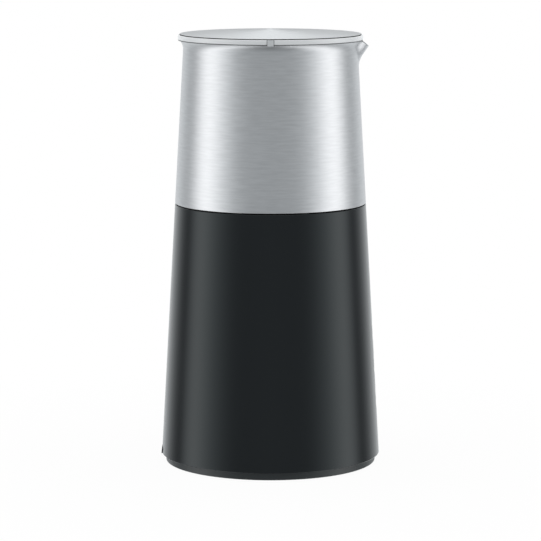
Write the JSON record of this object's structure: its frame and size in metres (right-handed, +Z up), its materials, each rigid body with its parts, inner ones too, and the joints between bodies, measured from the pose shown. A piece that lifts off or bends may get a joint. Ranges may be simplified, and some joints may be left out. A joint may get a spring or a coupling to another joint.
{
  "type": "milk frother",
  "caption": "Tapered jug-type automatic milk frother: brushed steel jug with spout and clear lid on a black induction base with a magnetic whisk drive.",
  "frame": {"origin": "on the table, at the centre of the base's footprint on the common axis of base, jug, lid and whisk", "axes": "+Z up along the axis, +X towards the jug's spout and the buttons, -X towards the cord gland"},
  "size_m": [0.1227, 0.1224, 0.2401],
  "materials": {
    "black_plastic": "satin black moulding with a fine grain",
    "dark_plastic": "matte black moulding",
    "grey_plastic": "matte dark grey moulding",
    "button_plastic": "satin dark grey moulding",
    "carrier_plastic": "natural white moulding",
    "clear_plastic": "clear moulding",
    "lid_plastic": "clear smoke-free moulding, polished",
    "whisk_plastic": "black food-grade moulding",
    "seal_rubber": "black silicone",
    "seal_rubber_clear": "translucent silicone",
    "foot_rubber": "grey rubber",
    "brushed_steel": "fine brushing round the jug",
    "vessel_steel": "satin drawn steel",
    "motor_steel": "zinc plated",
    "screw_steel": "plated steel",
    "spring_steel": "polished stainless wire",
    "sensor_metal": "turned aluminium cap",
    "sink_aluminium": "extruded aluminium",
    "bearing_bronze": "sintered bronze",
    "copper_winding": "enamelled copper wire",
    "ferrite": "dark grey ferrite",
    "magnet_plating": "nickel plating",
    "circuit_board": "green solder mask",
    "led_body": "white chip package",
    "capacitor_sleeve": "dark blue sleeve"
  },
  "bodies": {
    "base": {"housing": "black_plastic", "deck": "dark_plastic", "deck_gasket": "seal_rubber", "base_plate": "grey_plastic", "rubber_feet": "foot_rubber", "base_screws": "screw_steel", "cord_gland": "grey_plastic", "cord_clamp": "grey_plastic", "clamp_screws": "screw_steel", "winding_carrier": "carrier_plastic", "induction_winding": "copper_winding", "ferrite_bars": "ferrite", "motor_bridge": "carrier_plastic", "pillar_screws": "screw_steel", "motor_can": "motor_steel", "motor_end_cap": "carrier_plastic", "motor_bearings": "bearing_bronze", "motor_magnets": "ferrite", "motor_screws": "screw_steel", "sensor_spring": "spring_steel", "light_pipes": "clear_plastic", "control_board": "circuit_board", "switches": "dark_plastic", "leds": "led_body", "board_screws": "screw_steel", "power_board": "circuit_board", "heat_sink": "sink_aluminium", "capacitors": "capacitor_sleeve", "transformer": "copper_winding", "fan_frame": "dark_plastic", "fan_screws": "screw_steel"},
    "drive_rotor": {"motor_shaft": "screw_steel", "armature": "motor_steel", "magnet_carrier": "carrier_plastic", "drive_magnets": "magnet_plating"},
    "cooling_fan": {"fan_rotor": "dark_plastic"},
    "sensor": {"temperature_sensor": "sensor_metal"},
    "button_1": {"button_1": "button_plastic"},
    "button_2": {"button_2": "button_plastic"},
    "button_3": {"button_3": "button_plastic"},
    "jug": {"jug_shell": "brushed_steel", "inner_vessel": "vessel_steel", "vessel_base": "vessel_steel", "jug_collar": "dark_plastic", "jug_foot": "dark_plastic", "heat_plate": "motor_steel", "spindle": "vessel_steel"},
    "lid": {"lid": "lid_plastic", "lid_seal": "seal_rubber_clear"},
    "whisk": {"whisk_hub": "whisk_plastic", "whisk_magnets": "magnet_plating", "whisk_cap": "whisk_plastic", "whisk_bush": "whisk_plastic"},
    "whisk_coil": {"whisk_coil": "spring_steel"}
  },
  "joints": [
    {"name": "jug_lift", "type": "slide", "parent": "base", "child": "jug", "axis": [0, 0, 1], "range_m": [0, 0.06]},
    {"name": "lid_lift", "type": "slide", "parent": "jug", "child": "lid", "axis": [0, 0, 1], "range_m": [0, 0.03]},
    {"name": "whisk_spin", "type": "hinge", "parent": "jug", "child": "whisk", "pos_m": [0, 0, 0.135], "axis": [0, 0, 1], "continuous": true},
    {"name": "whisk_coil_lift", "type": "slide", "parent": "whisk", "child": "whisk_coil", "axis": [0, 0, 1], "range_m": [0, 0.02]},
    {"name": "drive_spin", "type": "hinge", "parent": "base", "child": "drive_rotor", "pos_m": [0, 0, 0.1], "axis": [0, 0, 1], "continuous": true},
    {"name": "fan_spin", "type": "hinge", "parent": "base", "child": "cooling_fan", "pos_m": [0, 0, 0.012], "axis": [0, 0, 1], "continuous": true},
    {"name": "sensor_press", "type": "slide", "parent": "base", "child": "sensor", "axis": [0, 0, 1], "range_m": [-0.001, 0], "stiffness_N_per_m": 300, "deforming": ["sensor_spring"]},
    {"name": "button_1_press", "type": "slide", "parent": "base", "child": "button_1", "axis": [-1, 0, 0], "range_m": [0, 0.0008], "stiffness_N_per_m": 600},
    {"name": "button_2_press", "type": "slide", "parent": "base", "child": "button_2", "axis": [-1, 0, 0], "range_m": [0, 0.0008], "stiffness_N_per_m": 600},
    {"name": "button_3_press", "type": "slide", "parent": "base", "child": "button_3", "axis": [-1, 0, 0], "range_m": [0, 0.0008], "stiffness_N_per_m": 600}
  ],
  "couplings": [
    {"joint": "whisk_spin", "follows": "drive_spin", "ratio": 1}
  ]
}
